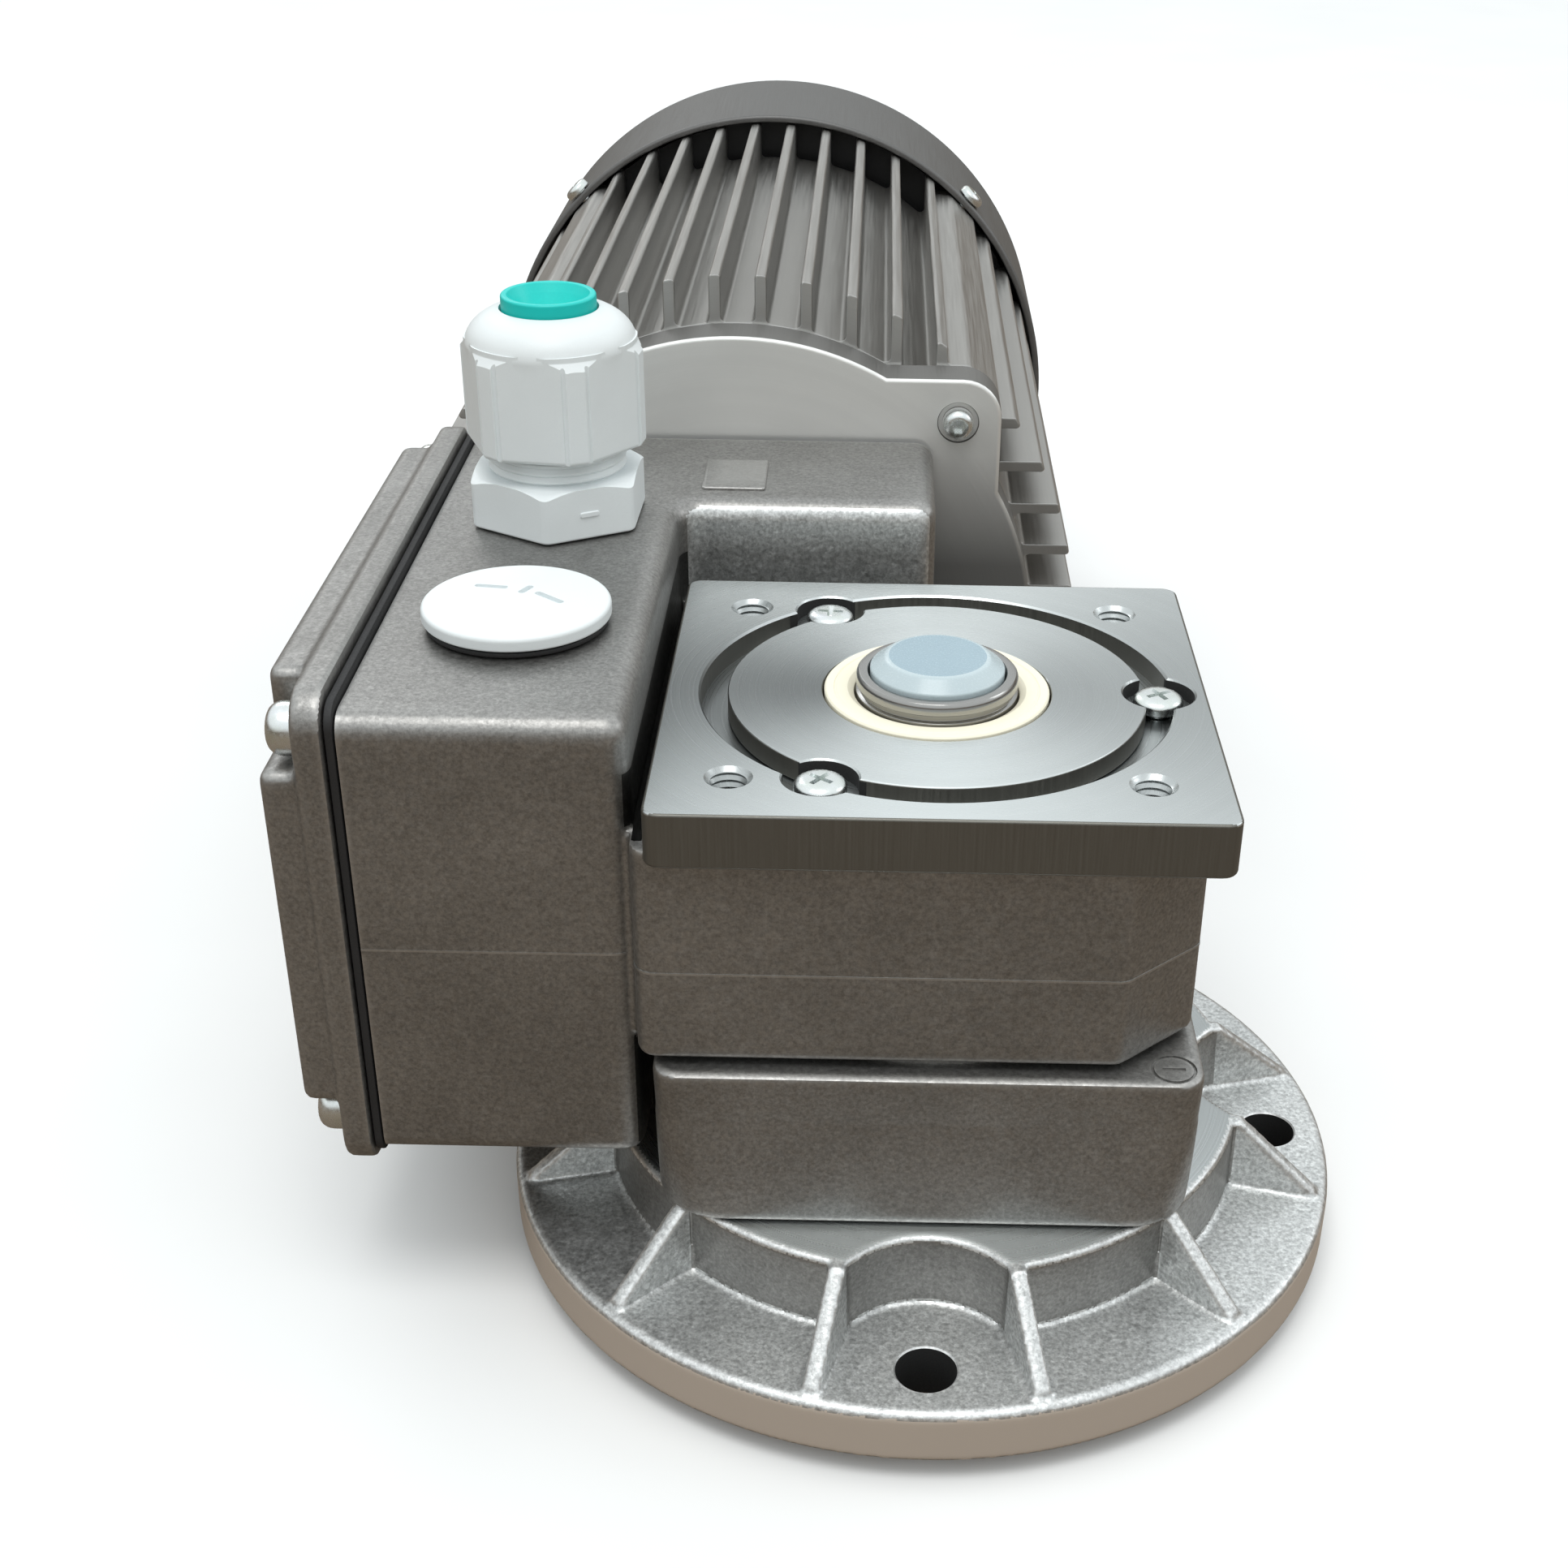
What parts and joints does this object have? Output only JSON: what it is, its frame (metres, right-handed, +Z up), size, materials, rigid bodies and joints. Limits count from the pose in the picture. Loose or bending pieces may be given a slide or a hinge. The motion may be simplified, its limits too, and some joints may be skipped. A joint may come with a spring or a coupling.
{
  "type": "worm geared motor",
  "caption": "Right-angle worm geared motor: machined square face on top, round ribbed output flange below, finned motor with fan cowl, angled terminal box with a cable gland.",
  "frame": {"origin": "output axis at the pilot face of the round flange, at the flat end of the lower shaft cap", "axes": "+Z up along the output axis, out of the machined square face; +Y along the motor, towards its fan; +X away from the terminal box"},
  "size_m": [0.1885, 0.3884, 0.1558],
  "materials": {
    "cast_grey": "grey die casting with a fine grain",
    "machined": "turned face",
    "bright_steel": "zinc plated",
    "dark_steel": "blackened",
    "bronze": "cut bronze",
    "copper": "lacquered winding",
    "lamination": "stacked sheet",
    "seal_cream": "smooth",
    "seal_black": "matte",
    "plastic_white": "moulded",
    "plastic_teal": "moulded",
    "plastic_pale": "translucent, moulded",
    "plastic_black": "moulded"
  },
  "bodies": {
    "housing": {"gear_housing": "cast_grey", "lower_housing": "cast_grey", "output_flange": "cast_grey", "bearing_cover": "machined", "bearing_cover_screw_1": "bright_steel", "bearing_cover_screw_2": "bright_steel", "bearing_cover_screw_3": "bright_steel", "shaft_seal_top": "seal_cream", "shaft_seal_bottom": "seal_black", "output_bearing_upper": "bright_steel", "output_bearing_lower": "bright_steel", "flange_bolt_1": "dark_steel", "flange_bolt_2": "dark_steel", "flange_bolt_3": "dark_steel", "flange_bolt_4": "dark_steel", "terminal_cover": "cast_grey", "cover_gasket": "seal_black", "terminal_cover_screw_1": "bright_steel", "terminal_cover_screw_2": "bright_steel", "terminal_cover_screw_3": "bright_steel", "terminal_cover_screw_4": "bright_steel", "terminal_block": "plastic_black", "earth_screw": "bright_steel", "blanking_plug": "plastic_white", "plug_o_ring": "seal_black", "gland_body": "plastic_white", "gland_nut": "plastic_white", "gland_seal": "seal_black", "gland_dust_plug": "plastic_teal", "gland_locknut": "plastic_white", "motor_end_shield": "cast_grey", "end_shield_screw_1": "bright_steel", "end_shield_screw_2": "bright_steel", "end_shield_screw_3": "bright_steel", "end_shield_screw_4": "bright_steel", "stator_housing": "cast_grey", "stator_core": "lamination", "winding_front": "copper", "winding_rear": "copper", "rear_end_shield": "cast_grey", "motor_bearing_front": "bright_steel", "motor_bearing_rear": "bright_steel", "worm_bearing": "bright_steel", "input_shaft_seal": "seal_black", "fan_cowl": "cast_grey", "fan_cowl_screw_1": "bright_steel", "fan_cowl_screw_2": "bright_steel", "fan_cowl_screw_3": "bright_steel", "fan_cowl_screw_4": "bright_steel"},
    "rotor": {"worm_shaft": "bright_steel", "rotor_core": "lamination", "fan": "plastic_black"},
    "output": {"hollow_shaft": "dark_steel", "worm_wheel": "bronze", "wheel_key": "bright_steel", "shaft_cap_top": "plastic_pale", "shaft_cap_bottom": "plastic_pale"}
  },
  "joints": [
    {"name": "rotor_spin", "type": "hinge", "parent": "housing", "child": "rotor", "pos_m": [-0.0393, 0, 0.0738], "axis": [0, 1, 0], "continuous": true},
    {"name": "output_spin", "type": "hinge", "parent": "housing", "child": "output", "pos_m": [0, 0, 0.0738], "axis": [0, 0, 1], "continuous": true}
  ],
  "couplings": [
    {"joint": "output_spin", "follows": "rotor_spin", "ratio": 0.033333}
  ]
}
